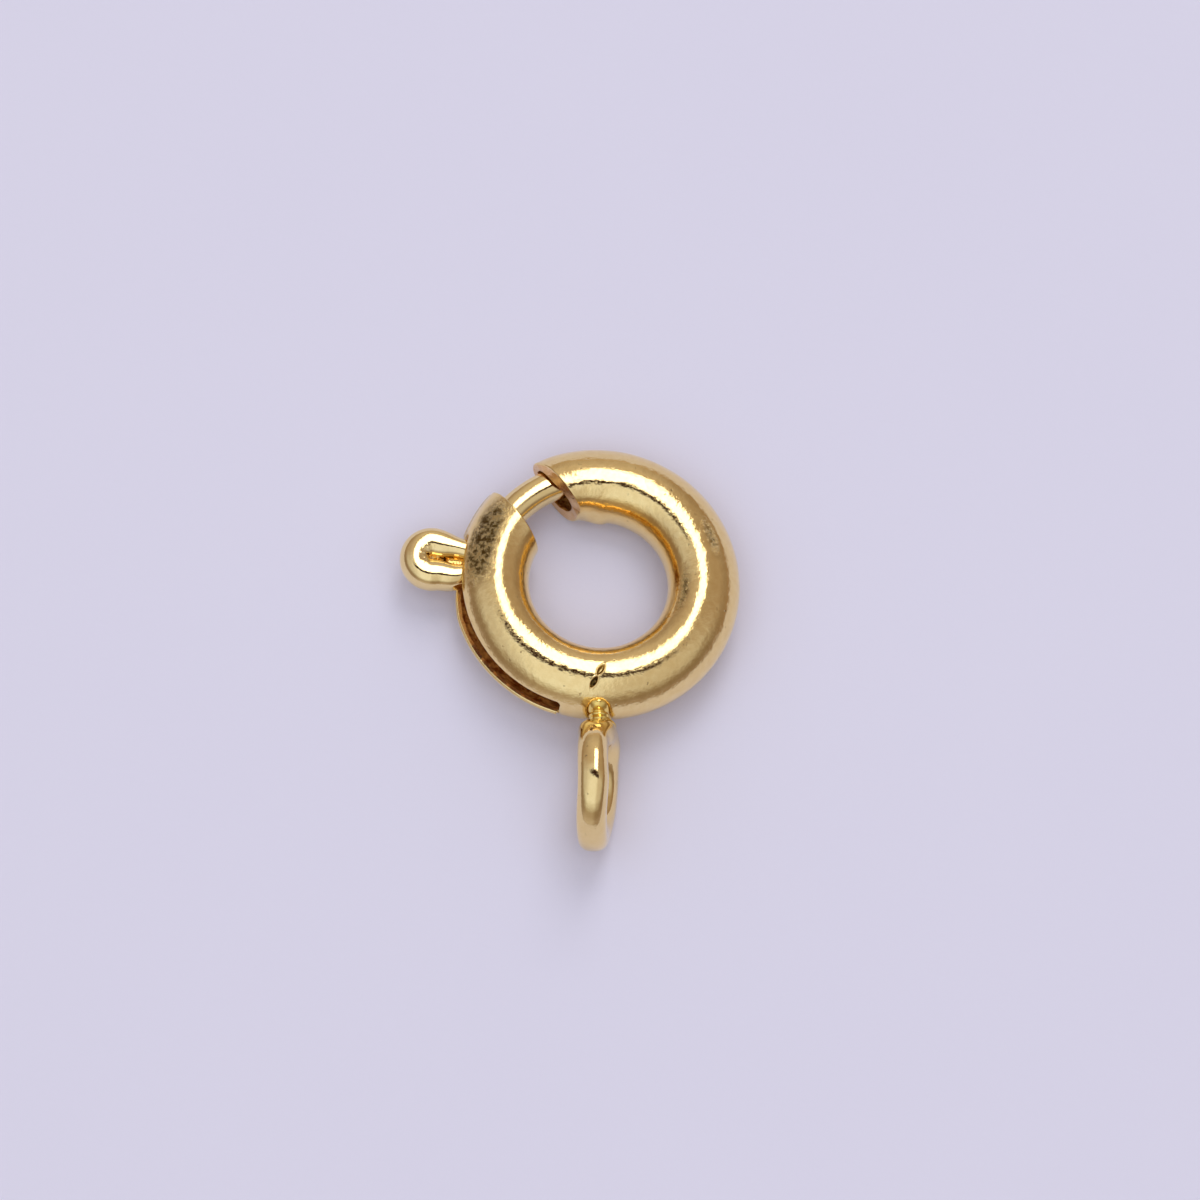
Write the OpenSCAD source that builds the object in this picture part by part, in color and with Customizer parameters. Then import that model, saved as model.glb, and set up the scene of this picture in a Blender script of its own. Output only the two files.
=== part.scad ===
// Spring ring clasp for a necklace or bracelet: a hollow ring with a sprung wire tongue.
// The ring is drawn flat about its own centre, with the end loop towards -Y,
// and is then pitched as it rests on a table, propped up by its end loop.

/* [Ring] */
// Outside diameter of the ring
ring_od = 6.0; // [6:0.1:7.2]
// Outside diameter of the tube that the ring is bent from
tube_d = 1.53; // [1.46:0.01:1.64]
// Wall of that tube
tube_wall = 0.13; // [0.1:0.01:0.15]

/* [Gate] */
// Width of the straight-sided gap that lets a link in
gate_w = 1.09; // [0.8:0.01:1.16]
// Place of the gap's middle round the ring, in degrees from +X
gate_angle = 127.5; // [124:0.5:130]

/* [Tongue] */
// Diameter of the tongue's wire, in the gate and round the lever's eye
wire_d = 0.66; // [0.62:0.01:0.68]
// Diameter that the wire is drawn down to where it passes through the slot, and at its tail
leg_d = 0.49; // [0.42:0.01:0.53]
// How far the wire runs outside the middle of the tube
wire_offset = 0.23; // [0.18:0.01:0.26]
// Length of the tip that is hidden in the far end of the tube when shut
tip_overlap = 0.28; // [0.15:0.01:0.36]
// Length that the tip is drawn into the near end of the tube when open
tip_draw = 0.08; // [0.04:0.01:0.15]
// Length of the straight-on tail behind the lever, which the spring pushes
tail_l = 0.85; // [0.7:0.05:0.9]
// Radius of the bends where the wire turns out through the slot
bend_r = 0.3; // [0.27:0.01:0.34]
// Amount by which the bends are thinner than the tail, the legs than the bends, and so on
draw_down = 0.01; // [0.006:0.001:0.02]

/* [Thumb lever] */
// Place of the lever round the ring when shut, in degrees from +X
lever_angle = 171.4; // [169:0.2:173]
// Lean of the lever from straight out, towards the spring
lever_lean = 1.0; // [0:0.5:8]
// Reach of the lever beyond the ring's outside
lever_reach = 1.24; // [1.1:0.01:1.5]
// Outside width of the folded eye at the lever's end
eye_w = 1.36; // [1.35:0.01:1.45]
// Gap between the two legs where they pass through the slot
leg_gap = 0.03; // [0.02:0.01:0.05]
// Thickness of the metal that closes the eye
web_t = 0.16; // [0.1:0.01:0.3]

/* [Slot] */
// Slot left free beyond the lever's full stroke
slot_spare = 1.85; // [0.5:0.01:2]

/* [Spring] */
// Diameter of the spring's wire
spring_wire_d = 0.09; // [0.08:0.01:0.1]
// Outside diameter of the coil
spring_od = 1.08; // [1:0.01:1.1]
// Number of turns
spring_turns = 7; // [6:0.5:7.5]

/* [End loop] */
// Outside diameter of the loop
loop_od = 2.8; // [2.6:0.05:3.4]
// Diameter of the loop's wire
loop_wire_d = 0.64; // [0.56:0.01:0.7]
// Gap between the ring's outside and the loop's
loop_gap = 0.085; // [0.06:0.005:0.15]
// Turn of the loop about its neck, away from square to the ring
loop_turn = 11.5; // [0:0.5:15]
// Lean of the loop to the side, in degrees
loop_lean = 3.0; // [0:0.2:6]
// Diameter of each of the loop's two legs
shank_d = 0.46; // [0.4:0.01:0.5]
// Distance between the two legs, centre to centre
shank_pitch = 0.56; // [0.4:0.01:0.6]
// Thickness of the solder between the two legs
shank_web = 0.38; // [0.3:0.01:0.39]
// Depth of the legs' ends below the ring's outside
shank_depth = 1.0; // [0.9:0.01:1.1]

/* [Stake mark] */
// Length of each of the two punched leaves
nick_l = 0.27; // [0.2:0.01:0.32]
// Width of each leaf
nick_w = 0.1; // [0.06:0.01:0.12]
// Depth of the leaves below the tube's surface
nick_depth = 0.08; // [0.04:0.01:0.1]
// Angle of the stroke from the +X direction
nick_angle = 57; // [40:1:70]
// Gap between the points of the two leaves
nick_gap = 0.03; // [0.01:0.01:0.1]
// Step sideways from one leaf to the other
nick_step = 0.02; // [0:0.01:0.1]
// How far the stroke's middle lies to the lever's side of the neck
nick_aside = 0.1; // [0:0.01:0.2]
// How far the stroke's middle lies outside the middle of the tube
nick_out = 0.07; // [-0.1:0.01:0.15]

/* [Fits] */
// Clearance round the legs of the lever in the slot
slot_fit = 0.06; // [0.03:0.01:0.08]
// Clearance round the loop's legs in their hole
shank_fit = 0.015; // [0.01:0.005:0.03]
// Gap between the spring's ends and what they press on
spring_fit = 0.02; // [0.01:0.01:0.04]

/* [Hidden] */
$fn = 96;
gold = [0.86, 0.70, 0.36];
pale_gold = [0.90, 0.76, 0.44];
steel_gold = [0.70, 0.52, 0.24];
// The end loop points towards -Y
neck_angle = 270;
ring_r = ring_od / 2;
tube_r = tube_d / 2;
bore_r = tube_r - tube_wall;
centre_r = ring_r - tube_r;
wire_r = wire_d / 2;
tail_r = leg_d / 2;
wire_line_r = centre_r + wire_offset;
// Anything cut from the ring reaches this far past it
past = 0.4;
// A thinner stretch of wire runs this far into its thicker neighbour
lap = 0.02;

// Lever, in its own flat frame: x runs out along it from the ring's outside, y towards the spring
lever_dir = lever_angle + lever_lean;
hub = [-ring_r * cos(lever_lean), ring_r * sin(lever_lean)];
eye_r = (eye_w - wire_d) / 2;
eye_x = lever_reach - eye_w / 2;
drawn_r = tail_r - draw_down / 2;
leg_r = drawn_r - draw_down / 2;
neck_r = leg_r - draw_down / 2;
leg_y = (leg_d + leg_gap) / 2;
pinch_x = wire_line_r + bend_r - ring_r;
// The legs widen from this far above the ring's outside to the full wire at the eye
neck_x = 0.03;
// The web between the legs ends this far below the ring's outside, in the slot
web_end = 0.1;
// Angle at which the legs close towards each other, so that they run off the eye smoothly
leg_slope = asin(eye_r / norm([eye_x - pinch_x, leg_y])) - atan2(leg_y, eye_x - pinch_x);

// side is -1 for the leg next to the gate and 1 for the leg next to the spring
function along(side) = [cos(leg_slope), side * sin(leg_slope)];
function across(side) = [-sin(leg_slope), side * cos(leg_slope)];
function leg_foot(side) = [pinch_x, side * leg_y];
function from_hub(side) = leg_foot(side) + bend_r * across(side) - hub;
function slide(side) =
    let (v = from_hub(side), d = v * along(side))
    sqrt(d * d - v * v + pow(wire_line_r + bend_r, 2)) - d;
function bend_centre(side) = hub + from_hub(side) + slide(side) * along(side);
function leg_start(side) = bend_centre(side) - bend_r * across(side);
function leg_end(side) = [eye_x, 0] + eye_r * across(side);
function leg_point(side, x) = leg_foot(side) + (x - pinch_x) / cos(leg_slope) * along(side);
web_corners = [leg_point(-1, -web_end), leg_end(-1), leg_end(1), leg_point(1, -web_end)];
function heading(v) = atan2(v[1], v[0]);
function turn_between(a, b) = (b - a + 540) % 360 - 180;
// Place round the ring where a bend meets the arc of the wire, and where a leg crosses the wall
function bend_angle(side) = lever_dir + heading(bend_centre(side) - hub);
function wall_cross(side) =
    let (p = leg_foot(side) - hub, d = p * along(side), r = ring_r - tube_wall / 2)
    lever_dir + heading(p + (sqrt(d * d - p * p + r * r) - d) * along(side));

// Stroke
function arc_deg(length, radius) = length / radius * 180 / PI;
tip_angle = gate_angle - asin(gate_w / 2 / wire_line_r) - arc_deg(tip_overlap, wire_line_r);
open_angle = gate_angle + asin(gate_w / 2 / (wire_line_r - wire_r)) + arc_deg(tip_draw, wire_line_r);
stroke = open_angle - tip_angle;
tail_angle = bend_angle(1) + arc_deg(tail_l, wire_line_r);

// Slot
slot_w = leg_d + 2 * slot_fit;
slot_start = wall_cross(-1) - arc_deg(tail_r + slot_fit, ring_r);
slot_stop = wall_cross(1) + stroke + arc_deg(tail_r + slot_spare, ring_r);

// Spring, from the tail to the loop's legs
coil_r = (spring_od - spring_wire_d) / 2;
spring_end_room = spring_wire_d / 2 + spring_fit;
spring_start = tail_angle + arc_deg(spring_end_room, centre_r - coil_r);
spring_stop = neck_angle - arc_deg(shank_d / 2 + shank_fit + spring_end_room, centre_r - coil_r);
// Facets round the wire, and along each turn
spring_sides = 6;
spring_steps = 14;
// Share of the coil over which its direction is taken
coil_step = 0.001;

// End loop
loop_wire_r = loop_wire_d / 2;
loop_line_r = loop_od / 2 - loop_wire_r;
loop_out = loop_gap + loop_od / 2;

// At rest the far side of the ring and the foot of the loop both touch the table
loop_foot = loop_wire_r + loop_line_r * cos(loop_turn);
rest_pitch = asin((loop_foot - tube_r) / (centre_r + ring_r + loop_out * cos(loop_lean)));

module as_it_rests() {
    rotate([-rest_pitch, 0, 0]) children();
}

module at_angle(a) {
    rotate([0, 0, a]) children();
}

// Part of a round wire bent to a circle about the origin, from one angle to another
module wire_arc(r, bend, from, to) {
    at_angle(from) rotate_extrude(angle = to - from) translate([bend, 0]) circle(r = r);
}

// Straight round wire from a to b, run on by the lap at both ends, with radius r1 at a and r2 at b
module wire_line(r1, r2, a, b) {
    translate(a) at_angle(heading(b - a)) translate([-lap, 0, 0])
        rotate([0, 90, 0]) cylinder(r1 = r1, r2 = r2, h = norm(b - a) + 2 * lap);
}

module lever_frame() {
    at_angle(lever_angle) translate([ring_r, 0, 0]) at_angle(lever_lean) children();
}

module wire_bend(side) {
    outward = heading(-across(side));
    inward = outward + turn_between(outward, heading(hub - bend_centre(side)));
    lapped = inward + sign(inward - outward) * arc_deg(lap, bend_r);
    translate(bend_centre(side)) wire_arc(drawn_r, bend_r, min(outward, lapped), max(outward, lapped));
}

// One wire: tongue, bend, leg, eye, leg, bend and tail
module tongue() {
    color(pale_gold) as_it_rests() {
        wire_arc(wire_r, wire_line_r, tip_angle, bend_angle(-1));
        wire_arc(tail_r, wire_line_r, bend_angle(1), tail_angle);
        lever_frame() {
            for (side = [-1, 1]) {
                wire_bend(side);
                wire_line(leg_r, leg_r, leg_start(side), leg_point(side, neck_x));
                wire_line(neck_r, wire_r - draw_down / 2, leg_point(side, neck_x), leg_end(side));
            }
            translate([eye_x, 0, 0]) wire_arc(wire_r, eye_r, -90 - leg_slope, 90 + leg_slope);
            translate([eye_x, 0, 0]) cylinder(r = eye_r, h = web_t, center = true);
            translate([0, 0, -web_t / 2]) linear_extrude(web_t) polygon(web_corners);
        }
    }
}

// The loop's two legs, soldered side by side, which stand across the ring's own plane
module shank(room, inner, outer) {
    at_angle(neck_angle) rotate([loop_turn, 0, 0]) {
        for (side = [-1, 1])
            translate([inner, 0, side * shank_pitch / 2]) rotate([0, 90, 0])
                cylinder(d = shank_d + 2 * room, h = outer - inner);
        translate([inner, -shank_web / 2 - room, -shank_pitch / 2])
            cube([outer - inner, shank_web + 2 * room, shank_pitch]);
    }
}

module end_loop() {
    color(gold) as_it_rests() {
        shank(0, ring_r - shank_depth, ring_r + loop_gap + loop_wire_r);
        at_angle(neck_angle) translate([ring_r, 0, 0]) at_angle(-loop_lean)
            translate([loop_out, 0, 0]) rotate([90 + loop_turn, 0, 0])
                rotate_extrude() translate([loop_line_r, 0]) circle(r = loop_wire_r);
    }
}

module slot_cut() {
    at_angle(slot_start) rotate_extrude(angle = slot_stop - slot_start)
        translate([centre_r, -slot_w / 2]) square([tube_r + past, slot_w]);
}

module gate_cut() {
    at_angle(gate_angle) translate([0, -gate_w / 2, -tube_d]) cube([ring_r + past, gate_w, 2 * tube_d]);
}

// A leaf is where two circles of radius lens_r cross
module leaf() {
    lens_r = (nick_l * nick_l + nick_w * nick_w) / (4 * nick_w);
    linear_extrude(tube_r + past)
        intersection() {
            translate([0, lens_r - nick_w / 2]) circle(r = lens_r);
            translate([0, nick_w / 2 - lens_r]) circle(r = lens_r);
        }
}

// Two leaves end to end, punched over the loop's legs to hold them, with a floor that follows the tube
module stake_mark() {
    difference() {
        at_angle(neck_angle) translate([centre_r + nick_out, -nick_aside, 0])
            at_angle(nick_angle - neck_angle) for (side = [-1, 1])
                translate([side * (nick_l + nick_gap) / 2, side * nick_step / 2, 0]) leaf();
        rotate_extrude() translate([centre_r, 0]) circle(r = tube_r - nick_depth);
    }
}

module ring_body() {
    color(gold) as_it_rests() difference() {
        rotate_extrude() translate([centre_r, 0]) difference() {
            circle(r = tube_r);
            circle(r = bore_r);
        }
        gate_cut();
        slot_cut();
        shank(shank_fit, centre_r, ring_r + past);
        stake_mark();
    }
}

// Centre of the spring's wire at a share t of the way along the coil
function coil_point(t) =
    let (a = spring_start + t * (spring_stop - spring_start), p = 360 * spring_turns * t)
    let (r = centre_r + coil_r * cos(p))
    [r * cos(a), r * sin(a), coil_r * sin(p)];
function coil_out(t) =
    let (a = spring_start + t * (spring_stop - spring_start), p = 360 * spring_turns * t)
    [cos(p) * cos(a), cos(p) * sin(a), sin(p)];
function unit(v) = v / norm(v);

module spring() {
    count = ceil(spring_turns * spring_steps);
    points = [
        for (i = [0 : count])
            let (t = i / count, ahead = unit(coil_point(t + coil_step) - coil_point(t - coil_step)))
            let (side = unit(cross(ahead, coil_out(t))), out = cross(side, ahead))
            for (k = [0 : spring_sides - 1])
                let (q = 360 * k / spring_sides)
                coil_point(t) + spring_wire_d / 2 * (cos(q) * out + sin(q) * side)
    ];
    walls = [
        for (i = [0 : count - 1])
            for (k = [0 : spring_sides - 1])
                let (a = i * spring_sides + k, b = i * spring_sides + (k + 1) % spring_sides)
                [a, a + spring_sides, b + spring_sides, b]
    ];
    first = [for (k = [0 : spring_sides - 1]) k];
    last = [for (k = [1 : spring_sides]) (count + 1) * spring_sides - k];
    color(steel_gold) as_it_rests() polyhedron(points, concat(walls, [first, last]));
}

ring_body();
tongue();
spring();
end_loop();
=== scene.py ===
import math

import bmesh
import bpy
import numpy as np
from mathutils import Matrix, Vector, noise


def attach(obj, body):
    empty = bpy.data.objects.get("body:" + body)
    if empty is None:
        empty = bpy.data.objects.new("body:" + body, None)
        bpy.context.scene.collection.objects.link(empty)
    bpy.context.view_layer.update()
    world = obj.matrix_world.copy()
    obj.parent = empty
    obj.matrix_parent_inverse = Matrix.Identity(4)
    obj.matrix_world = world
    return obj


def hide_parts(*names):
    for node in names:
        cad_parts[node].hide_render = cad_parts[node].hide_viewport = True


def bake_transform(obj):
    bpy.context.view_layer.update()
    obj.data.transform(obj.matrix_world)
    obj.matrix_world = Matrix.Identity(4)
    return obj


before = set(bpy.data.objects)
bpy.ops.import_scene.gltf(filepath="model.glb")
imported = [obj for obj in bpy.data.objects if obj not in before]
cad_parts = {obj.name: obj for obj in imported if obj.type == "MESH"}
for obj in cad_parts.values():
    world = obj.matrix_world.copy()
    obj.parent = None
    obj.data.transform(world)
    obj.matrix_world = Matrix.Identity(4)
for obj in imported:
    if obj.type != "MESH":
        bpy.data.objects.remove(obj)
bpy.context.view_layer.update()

# Ring body
# A brass tube bent to a ring, sawn open at the gate, with a milled slot for the thumb lever,
# a hole for the end loop and a two-leaf punch mark over it. It is polished and gold plated.

# The clasp is drawn flat round the ring's centre, in millimetres, and lies propped up by its end loop
REST_PITCH = math.radians(5.23813)
RING_R = 3.0
TUBE_R = 0.765
BORE_R = 0.635
TUBE_LINE_R = RING_R - TUBE_R
# Bending pulls the tube's crown this far in towards the ring's centre
CROWN_SHIFT = 0.065
GATE_AT, GATE_W, FILED = 127.5, 1.09, 0.085
SLOT_FROM, SLOT_TO, SLOT_W, SLOT_CORNER = 160.119, 252.767, 0.61, 0.09
SLOT_LINE_R = 2.95
NECK_AT, NECK_TURN, LEG_PITCH, LEG_HOLE_R = 270.0, math.radians(11.5), 0.56, 0.245


def at_rest(points):
    """Points of the flat clasp in millimetres, as it lies on the table, in metres."""
    x, y, z = np.asarray(points, float).reshape(-1, 3).T
    c, s = math.cos(REST_PITCH), math.sin(REST_PITCH)
    return np.stack([x, y * c + z * s, z * c - y * s], axis=1) / 1000


def stations(*stops):
    """Numbers from stop to stop, each stretch with its own step: (first number, step) and so on."""
    out = []
    for (a, step), (b, _) in zip(stops, stops[1:]):
        n = max(1, round((b - a) / step))
        out += [a + (b - a) * k / n for k in range(n)]
    return np.array(out + [stops[-1][0]])


def ease(low, high, value):
    """0 up to low, 1 from high, smooth between them."""
    t = np.clip((value - low) / (high - low), 0, 1)
    return t * t * (3 - 2 * t)


def hill(value, middle, reach):
    """1 at the middle, falling smoothly to 0 at the reach on both sides."""
    return 1 - ease(0, 1, np.abs(value - middle) / reach)


def half_turn(phi):
    """Degrees round the ring counted from -180 to 180."""
    return (phi + 180) % 360 - 180


def crown_line(alpha, r):
    """Distance from the ring's axis to a point of the tube, alpha round it from outside over the top."""
    return TUBE_LINE_R + r * np.cos(alpha) - CROWN_SHIFT * np.sin(alpha) ** 2


def slot_edge(u, z):
    """Distance outside the slot's outline, u along the ring from its middle."""
    half = math.radians(SLOT_TO - SLOT_FROM) / 2 * SLOT_LINE_R
    a, b = np.abs(u) - half + SLOT_CORNER, np.abs(z) - SLOT_W / 2 + SLOT_CORNER
    return np.hypot(np.maximum(a, 0), np.maximum(b, 0)) + np.minimum(np.maximum(a, b), 0) - SLOT_CORNER


def neck_edge(x, z):
    """Distance outside the hole for the loop's two legs."""
    along = z * math.cos(NECK_TURN) - x * math.sin(NECK_TURN)
    aside = x * math.cos(NECK_TURN) + z * math.sin(NECK_TURN)
    return np.hypot(aside, np.maximum(np.abs(along) - LEG_PITCH / 2, 0)) - LEG_HOLE_R


def slot_flat(phi, alpha, r):
    return np.radians(phi - (SLOT_FROM + SLOT_TO) / 2) * SLOT_LINE_R, r * np.sin(alpha)


def slot_round(u, z, r):
    return (SLOT_FROM + SLOT_TO) / 2 + np.degrees(u / SLOT_LINE_R), np.arcsin(np.clip(z / r, -1, 1))


def neck_flat(phi, alpha, r):
    # Away from the neck nothing is near its hole
    x = crown_line(alpha, r) * np.cos(np.radians(phi))
    return np.where(np.abs(phi - NECK_AT) < 30, x, RING_R), r * np.sin(alpha)


def neck_round(x, z, r):
    alpha = np.arcsin(np.clip(z / r, -1, 1))
    return NECK_AT + np.degrees(np.arcsin(x / crown_line(alpha, r))), alpha


# Rows across the ring and lines round the tube, closest where the slot, the neck and the mark need them.
# The rows up to NEAR_TO and those from FAR_FROM on are spread out to the two ends at the gate.
NEAR_FROM, NEAR_TO, FAR_FROM, FAR_TO = 142.5, 158.9, 455.5, 472.5
ROWS = stations((NEAR_FROM, 0.25), (144.0, 1.4), (159.0, 0.19), (SLOT_FROM, 0.2), (161.6, 1.5), (251.4, 0.2),
                (SLOT_TO, 0.2), (254.4, 0.8), (261.5, 0.24), (276.5, 1.5), (FAR_FROM, 1.3), (469.0, 0.4),
                (471.0, 0.25), (FAR_TO, 1))
SLOT_LINE = math.degrees(math.asin(SLOT_W / 2 / TUBE_R))
LINES = stations((-180, 4), (-60, 2), (-SLOT_LINE - 8, 0.75), (-SLOT_LINE, 1.3), (-17, 4.2), (17, 1.3),
                 (SLOT_LINE, 0.8), (SLOT_LINE + 5, 2), (60, 1.1), (110, 4), (180, 1))[:-1]
BORE_LINES = [j for j, a in enumerate(LINES) if abs(a) <= 60 or j % 3 == 0]


def laid_rows(r):
    """Where rows and lines cross on a wall of radius r: degrees round the ring, radians round the tube."""
    height = np.degrees(np.arcsin(np.clip(TUBE_R / r * np.sin(np.radians(LINES)), -1, 1)))
    share = 1 - ease(36, 56, np.abs(LINES))
    alpha = np.radians(LINES + share * (height - LINES))
    phi, alpha = np.meshgrid(ROWS, alpha, indexing="ij")
    side = np.degrees(np.arcsin(GATE_W / 2 / crown_line(alpha, r)))
    # The far end is filed back a little over its top
    a = np.degrees(alpha)
    filed = np.degrees(FILED * ease(15, 60, a) * ease(178, 150, a) / crown_line(alpha, r)) * (r > BORE_R)
    start = np.clip((NEAR_TO - phi) / (NEAR_TO - NEAR_FROM), 0, 1)
    stop = np.clip((phi - FAR_FROM) / (FAR_TO - FAR_FROM), 0, 1)
    phi = np.where(start > 0, NEAR_TO + start * (GATE_AT + side - NEAR_TO), phi)
    phi = np.where(stop > 0, FAR_FROM + stop * (GATE_AT + 360 - side - filed - FAR_FROM), phi)
    return phi, alpha


def cut(phi, alpha, r, flat, edge, back):
    """Moves the crossings round an opening onto its outline, and says which faces the opening takes."""
    u, z = flat(phi, alpha, r)
    facing = np.cos(alpha) > 0
    d = np.where(facing, edge(u, z), 9.0)
    wrap = np.roll(d, -1, axis=1)
    middle = (d[:-1] + d[1:] + wrap[:-1] + wrap[1:]) / 4
    gone = middle < 0
    if d.min() < 0:
        touch = np.zeros_like(d, bool)
        stay = np.zeros_like(d, bool)
        for where, mask in ((touch, gone), (stay, ~gone)):
            for i in (0, 1):
                for j in (0, 1):
                    part = where[i: where.shape[0] - 1 + i]
                    part |= np.roll(mask, j, axis=1)
        rim = touch & stay
        # These lie on the border, and slide on to the outline by its slope
        p, q = u[rim], z[rim]
        h = 1e-5
        for _ in range(6):
            g = edge(p, q)
            gp, gq = (edge(p + h, q) - g) / h, (edge(p, q + h) - g) / h
            n = np.maximum(gp * gp + gq * gq, 1e-9)
            p, q = p - g * gp / n, q - g * gq / n
        phi[rim], alpha[rim] = back(p, q, r)
    return gone


def worn(phi, alpha):
    """How strongly the cast and plating are pitted, 0 to 1: outer left, outer right and inner right."""
    turn = half_turn(phi)
    a = np.degrees(alpha)
    left = hill(phi, 163, 27) * hill(a, 57, 30)
    right = hill(turn, 20, 15) * hill(a, 64, 13)
    inner = hill(turn, -10, 24) * hill(a, 120, 12)
    return np.clip(2.6 * left + 0.7 * right + 0.9 * inner, 0, 1)


def hammered(phi, alpha, base):
    """Height in millimetres of the small unevenness of the tube's outside."""
    turn = half_turn(phi)
    a = np.degrees(alpha) % 360
    flat = base.reshape(-1, 3)
    soft = np.array([noise.noise(Vector(p) * 1.3) + 0.4 * noise.noise(Vector(p) * 3.1) for p in flat])
    rough = np.array([noise.noise(Vector(p) * 9) for p in flat])
    out = 0.0055 * soft.reshape(phi.shape) + 0.009 * worn(phi, alpha) * rough.reshape(phi.shape)
    # The inner wall is a little flattened beside the gate, and steps back where that ends
    out += 0.05 * ease(80, 86, turn) * ease(104, 90, turn) * hill(a, 196, 34)
    return out


def punched(x, y):
    """Depth in millimetres of the two-leaf mark, and the low burr round it."""
    stroke = math.radians(57)
    cx, cy = -0.1, -(TUBE_LINE_R + 0.07)
    along = (x - cx) * math.cos(stroke) + (y - cy) * math.sin(stroke)
    aside = (y - cy) * math.cos(stroke) - (x - cx) * math.sin(stroke)
    out = np.zeros_like(x)
    half_l, half_w = 0.15, 0.062
    for side, deep in ((-1, 0.1), (1, 0.07)):
        u, v = along - side * 0.15, aside - side * 0.01
        lens = (half_l ** 2 + half_w ** 2) / (2 * half_w)
        d = np.hypot(u, np.abs(v) + lens - half_w) - lens
        out += -deep * ease(0.004, -0.04, d) + 0.007 * hill(d, 0.012, 0.02)
    return out


# (degrees round the ring, how far the lip is pushed out)
LIP_PUSHED = ((157, 0.04), (175, 0.07), (186, 0.13), (193, 0.155),
              (203, 0.135), (215, 0.11), (228, 0.08), (250, 0.05))


def flare(phi, alpha):
    """How far the slot's lower lip is pushed out by the wire that works in it."""
    return np.interp(phi, *zip(*LIP_PUSHED)) * (phi < 252) * ease(66, 26, -np.degrees(alpha)) * (alpha < 0)


def mouth(phi, alpha):
    """How far the tube is squeezed in towards its far end at the gate: (outside, bore)."""
    a = np.degrees(alpha) % 360
    left = (phi[-1] - phi) * math.pi / 180 * crown_line(alpha, TUBE_R)
    outside = ease(0.5, 0.0, left) * (0.015 + 0.09 * hill(a, 185, 75))
    narrowed = 0.06 + 0.10 * ease(25, 80, a) * ease(335, 280, a) + 0.03 * hill(a, 185, 75)
    return outside, ease(0.3, 0.02, left) * narrowed


def lip_drop(phi, alpha):
    """How far the tube's outside is rounded down at the slot, the neck's hole and the two ends."""
    u, z = slot_flat(phi, alpha, TUBE_R)
    facing = np.cos(alpha) > 0
    drop = np.zeros_like(phi)
    ends = np.minimum(phi - phi[0], phi[-1] - phi) * math.pi / 180 * crown_line(alpha, TUBE_R)
    for d, w in ((np.where(facing, slot_edge(u, z), 9.0), np.where(z < 0, 0.085, 0.05)),
                 (np.where(facing, neck_edge(*neck_flat(phi, alpha, TUBE_R)), 9.0), 0.03), (ends, 0.025)):
        left = np.clip(w - d, 0, w)
        drop = np.maximum(drop, w - np.sqrt(w * w - left * left))
    return drop


def placed(phi, alpha, r):
    """Points of a wall of radius r, with the lip's flare, in the flat frame."""
    p = np.radians(phi)
    rho = crown_line(alpha, r) + flare(phi, alpha)
    return np.stack([rho * np.cos(p), rho * np.sin(p), r * np.sin(alpha)], axis=-1)


outer_phi, outer_alpha = laid_rows(TUBE_R)
bore_phi, bore_alpha = laid_rows(BORE_R)
gone = cut(outer_phi, outer_alpha, TUBE_R, slot_flat, slot_edge, slot_round) \
    | cut(outer_phi, outer_alpha, TUBE_R, neck_flat, neck_edge, neck_round)
cut(bore_phi, bore_alpha, BORE_R, slot_flat, slot_edge, slot_round)
cut(bore_phi, bore_alpha, BORE_R, neck_flat, neck_edge, neck_round)
smooth = placed(outer_phi, outer_alpha, TUBE_R)
near_mark = (np.abs(outer_phi - 267) < 8) & (np.abs(np.degrees(outer_alpha) - 85) < 32)
mark = punched(smooth[..., 0], smooth[..., 1])
swell = hammered(outer_phi, outer_alpha, smooth) + near_mark * mark
swell = swell - lip_drop(outer_phi, outer_alpha) - mouth(outer_phi, outer_alpha)[0]
outer = placed(outer_phi, outer_alpha, TUBE_R + swell)
bore = placed(bore_phi, bore_alpha, BORE_R - mouth(bore_phi, bore_alpha)[1])[:, BORE_LINES]
rows, lines = outer_phi.shape
bore_lines = len(BORE_LINES)
first_bore = rows * lines


def on_outer(i, j):
    return i * lines + j % lines


def on_bore(i, k):
    return first_bore + i * bore_lines + k % bore_lines


line_to_bore = {j: k for k, j in enumerate(BORE_LINES)}
OUTSIDE, INSIDE, RIM = 0, 1, 2
tube_faces, tube_kinds = [], []
for i in range(rows - 1):
    for j in range(lines):
        if not gone[i, j]:
            tube_faces.append((on_outer(i, j), on_outer(i + 1, j),
                               on_outer(i + 1, j + 1), on_outer(i, j + 1)))
            tube_kinds.append(OUTSIDE)
    for k, j in enumerate(BORE_LINES):
        if not gone[i, j]:
            tube_faces.append((on_bore(i, k), on_bore(i, k + 1), on_bore(i + 1, k + 1), on_bore(i + 1, k)))
            tube_kinds.append(INSIDE)
# The cut walls between the outside and the bore
for i in range(rows - 1):
    for j in range(lines):
        k = line_to_bore.get(j)
        if gone[i, j] != gone[i, j - 1]:
            tube_faces.append((on_outer(i, j), on_outer(i + 1, j), on_bore(i + 1, k), on_bore(i, k)))
            tube_kinds.append(RIM)
        if i and gone[i, j] != gone[i - 1, j]:
            tube_faces.append((on_outer(i, j), on_outer(i, j + 1), on_bore(i, k + 1), on_bore(i, k)))
            tube_kinds.append(RIM)
for i in (0, rows - 1):
    for k, j in enumerate(BORE_LINES):
        j_next = BORE_LINES[(k + 1) % bore_lines] + (lines if k + 1 == bore_lines else 0)
        outside_edge = [on_outer(i, m) for m in range(j, j_next + 1)]
        tube_faces.append(outside_edge + [on_bore(i, k + 1), on_bore(i, k)])
        tube_kinds.append(RIM)

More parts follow.
